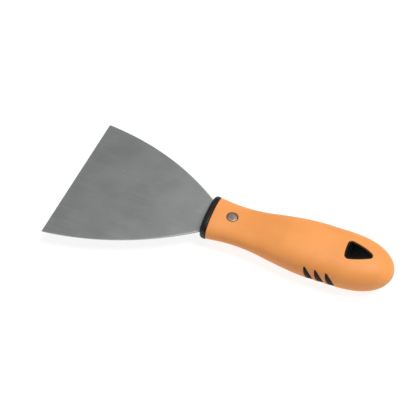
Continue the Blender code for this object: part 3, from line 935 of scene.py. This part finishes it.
def rivet_material():
    """Turned steel: rings about the rivet's axis, a dull patina and a bright rim."""
    material, shader = new_material("turned_rivet_steel", Metallic=1.0)
    centred = {"Vector": rest_place(material), "Location": (-RIVET_X, 0, 0)}
    place = add(material, "ShaderNodeMapping", centred).outputs[0]
    split = add(material, "ShaderNodeSeparateXYZ", {0: place})
    across = {0: split.outputs[0], 1: split.outputs[1], 2: 0.0}
    flat = add(material, "ShaderNodeCombineXYZ", across).outputs[0]
    radius = add(material, "ShaderNodeVectorMath", {0: flat}, operation="LENGTH").outputs["Value"]
    ring_place = add(material, "ShaderNodeCombineXYZ", {0: radius, 1: 0.0, 2: 0.0}).outputs[0]
    rings = noise(material, ring_place, 6000.0, 2.0)
    patina = noise(material, place, 900.0, 4.0, 0.6)
    wear_and_painted_highlight = ranged(material, radius, RIVET_WEAR_START, RIVET_WEAR_END)
    tone = ranged(material, patina, 0.35, 0.65)
    color = mixed(material, tone, (0.30, 0.246, 0.214, 1), (0.385, 0.326, 0.288, 1))
    color = mixed(material, math_node(material, "MULTIPLY", wear_and_painted_highlight, 0.3), color, (0.62, 0.60, 0.57, 1))
    rough = ranged(material, patina, 0.3, 0.7, 0.36, 0.50)
    normal = bumped(material, rings, 0.25, 0.02 * MM)
    wire(material, shader, Base_Color=color, Roughness=rough, Normal=normal)
    return material


def grip_material():
    """Moulded orange elastomer: satin, with a fine grain, faint clouding and painted shade round its
    openings.
    """
    material, shader = new_material("orange_elastomer", Specular_IOR_Level=0.35)
    place = rest_place(material)
    cloud = noise(material, place, 45.0, 3.0)
    speck = noise(material, place, 700.0, 2.0)
    grain = noise(material, place, 3200.0, 2.0, 0.6)
    rim = add(material, "ShaderNodeAttribute", attribute_name="rim").outputs["Fac"]
    tone = ranged(material, cloud, 0.35, 0.65)
    color = mixed(material, tone, (0.80, 0.300, 0.076, 1), (0.86, 0.332, 0.088, 1))
    color = mixed(material, ranged(material, speck, 0.62, 0.75, 0.0, 0.10), color, (0.62, 0.24, 0.08, 1))
    # Painted shade round the openings, a darker orange-brown.
    color = mixed(material, math_node(material, "MULTIPLY", rim, 0.45), color, (0.50, 0.20, 0.07, 1))
    rough = ranged(material, cloud, 0.3, 0.7, 0.50, 0.60)
    rough = math_node(material, "ADD", rough, ranged(material, grain, 0.3, 0.7, -0.05, 0.05))
    normal = bumped(material, grain, 0.20, 0.03 * MM)
    wire(material, shader, Base_Color=color, Roughness=rough, Normal=normal)
    return material


def black_material(name, dark, light, roughness, specular, grain_scale):
    """Moulded black plastic: spark-eroded grain, handling shine and faint dust."""
    material, shader = new_material(name, Specular_IOR_Level=specular)
    place = rest_place(material)
    grain = noise(material, place, grain_scale, 2.0, 0.6)
    shine = noise(material, place, 160.0, 3.0)
    dust = ranged(material, noise(material, place, 1300.0, 3.0), 0.60, 0.78, 0.0, 0.5)
    color = mixed(material, dust, (dark, dark, dark * 1.04, 1), (light, light, light * 1.03, 1))
    rough = ranged(material, shine, 0.3, 0.7, roughness - 0.06, roughness + 0.06)
    rough = math_node(material, "ADD", rough, ranged(material, grain, 0.3, 0.7, -0.04, 0.04))
    wire(material, shader, Base_Color=color, Roughness=rough, Normal=bumped(material, grain, 0.25, 0.03 * MM))
    return material


# ------------------------------------------------------------------------------------ stage and camera


def make_camera():
    camera = bpy.data.cameras.new("camera")
    camera.sensor_width = SENSOR_WIDTH
    camera.lens = CAMERA_LENS
    camera.clip_start = 0.01
    made = bpy.data.objects.new("camera", camera)
    right, down, forward = Vector(CAMERA_RIGHT), Vector(CAMERA_DOWN), Vector(CAMERA_FORWARD)
    turn = Matrix((right, -down, -forward)).transposed().to_4x4()
    made.matrix_world = Matrix.Translation(CAMERA_PLACE) @ turn
    bpy.context.scene.collection.objects.link(made)
    bpy.context.scene.camera = made


def make_overhead_light():
    """One large soft light that faces the origin."""
    light = bpy.data.lights.new("overhead", "AREA")
    light.shape = "SQUARE"
    light.size = LIGHT_SIZE
    light.energy = LIGHT_POWER
    made = bpy.data.objects.new("overhead", light)
    made.location = LIGHT_PLACE
    made.rotation_euler = (-Vector(LIGHT_PLACE)).to_track_quat("-Z", "Y").to_euler()
    bpy.context.scene.collection.objects.link(made)


def make_world():
    world = bpy.data.worlds.new("studio")
    world.use_nodes = True
    background = world.node_tree.nodes["Background"]
    background.inputs["Color"].default_value = (1, 1, 1, 1)
    background.inputs["Strength"].default_value = WORLD_STRENGTH
    bpy.context.scene.world = world


def make_floor():
    """A pale floor that is partly self-lit, so that it stays near white."""
    half = FLOOR_HALF_SIZE
    points = [(-half, -half, FLOOR_Z), (half, -half, FLOOR_Z), (half, half, FLOOR_Z), (-half, half, FLOOR_Z)]
    floor = new_piece("floor", points, [(0, 1, 2, 3)])
    material, shader = new_material("pale_floor", Roughness=0.9, Specular_IOR_Level=0.0)
    shader.inputs["Base Color"].default_value = (FLOOR_TONE, FLOOR_TONE, FLOOR_TONE, 1)
    shader.inputs["Emission Color"].default_value = (1, 1, 1, 1)
    shader.inputs["Emission Strength"].default_value = FLOOR_GLOW
    floor.data.materials.append(material)


def make_stage():
    make_camera()
    make_floor()
    make_world()
    make_overhead_light()
    bpy.context.scene.view_settings.view_transform = "Standard"


# --------------------------------------------------------------------------------------------- assembly


def place_piece(made, material, slot, *nodes):
    made.data.materials.clear()
    made.data.materials.append(material)
    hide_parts(*nodes)


def main():
    make_stage()
    blacks = [black_material(name, *finish) for name, finish in BLACK_FINISHES.items()]
    black, leaf_black, bush_black, core_black = blacks
    rivet = rivet_material()
    grip = make_grip()
    place_piece(grip, grip_material(), "grip_orange", "grip_overmould")
    collar = make_collar()
    place_piece(collar, black, "core_black", "bolster_collar")
    liner = make_liner()
    place_piece(liner, bush_black, "core_black", "hang_hole_liner")
    pin, tube = make_rivet_pin(), make_rivet_tube()
    place_piece(pin, rivet, "rivet_steel", "rivet_pin")
    place_piece(tube, rivet, "rivet_steel", "rivet_tube")
    inlays = make_inlays()
    for leaf, node in inlays:
        place_piece(leaf, leaf_black, "core_black", node)
    for piece in [grip, collar, liner, pin, tube] + [leaf for leaf, _ in inlays]:
        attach(piece, "handle")
    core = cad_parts["handle_core"]
    for slot in core.material_slots:
        slot.material = core_black
    blade = make_blade()
    place_piece(blade, blade_material(), "blade_steel", "blade")
    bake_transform(blade)


main()
